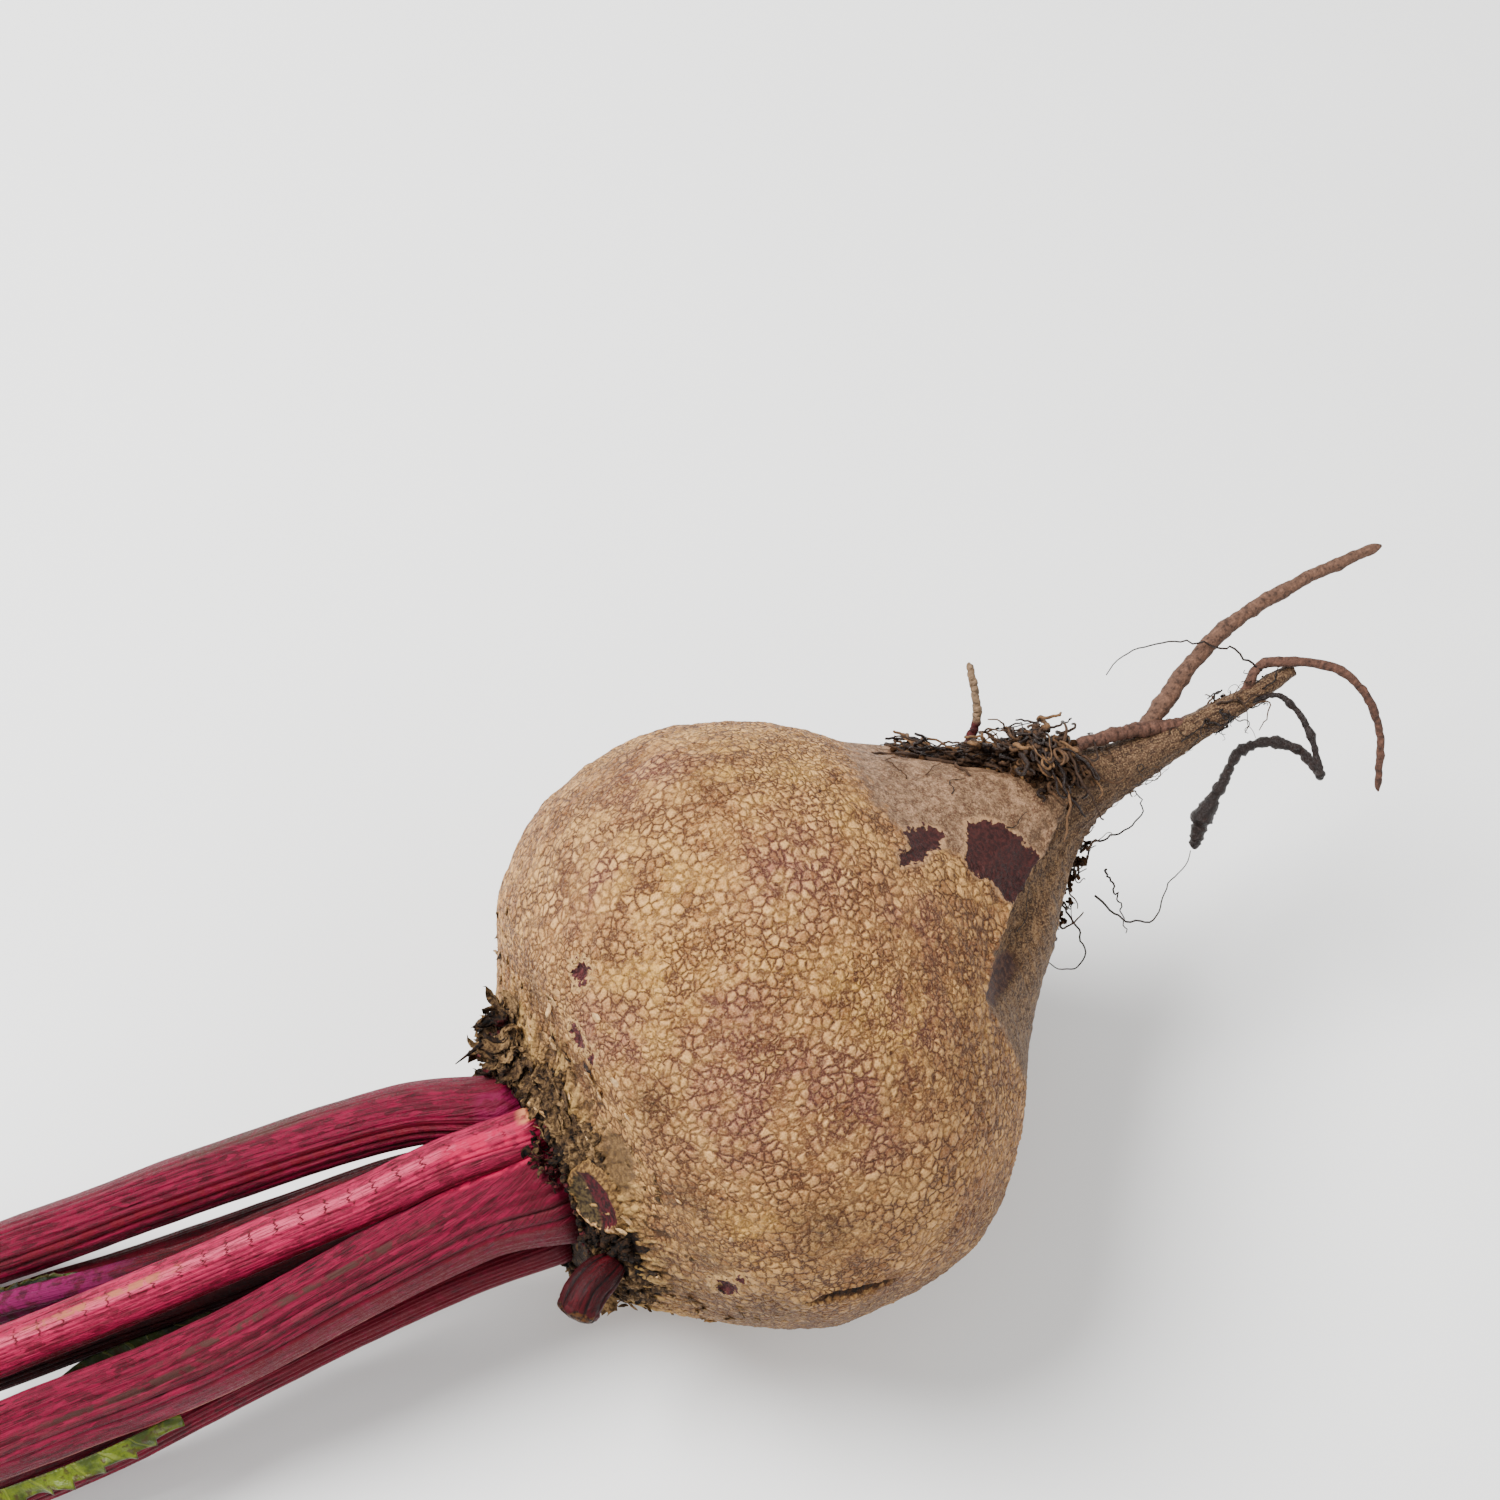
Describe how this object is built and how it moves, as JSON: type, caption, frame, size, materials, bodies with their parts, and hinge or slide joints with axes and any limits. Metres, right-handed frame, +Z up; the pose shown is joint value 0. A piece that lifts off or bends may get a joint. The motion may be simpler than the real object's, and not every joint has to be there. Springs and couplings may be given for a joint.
{
  "type": "beetroot",
  "caption": "Whole beetroot lying on its side: round root drawn out into a forked taproot, a ragged crown and cut-off leaf stalks with strips of leaf.",
  "frame": {"origin": "middle of the small flat spot under the root, on the surface that the beetroot lies on", "axes": "+Z up from that surface, +X from the leaf stalks towards the taproot as they lie, +Y to the upper side of the picture's view"},
  "size_m": [0.2746, 0.1025, 0.0966],
  "materials": {
    "root_skin": "matt corky skin, tan with fine brown cracks and dark red scars",
    "dry_scales": "dry, fibrous and matt",
    "petiole_flesh": "crimson, ribbed, with a soft sheen",
    "leaf_blade": "yellow-green leaf, slightly shiny",
    "soil": "dark crumbly soil, matt"
  },
  "bodies": {
    "root": {"root": "root_skin", "crown_scales": "dry_scales", "petiole_1": "petiole_flesh", "petiole_2": "petiole_flesh", "petiole_3": "petiole_flesh", "petiole_4": "petiole_flesh", "petiole_5": "petiole_flesh", "petiole_6": "petiole_flesh", "petiole_7": "petiole_flesh", "petiole_stub": "petiole_flesh", "blade_1": "leaf_blade", "blade_2": "leaf_blade", "blade_3": "leaf_blade", "soil_rootlets": "soil"}
  },
  "joints": []
}
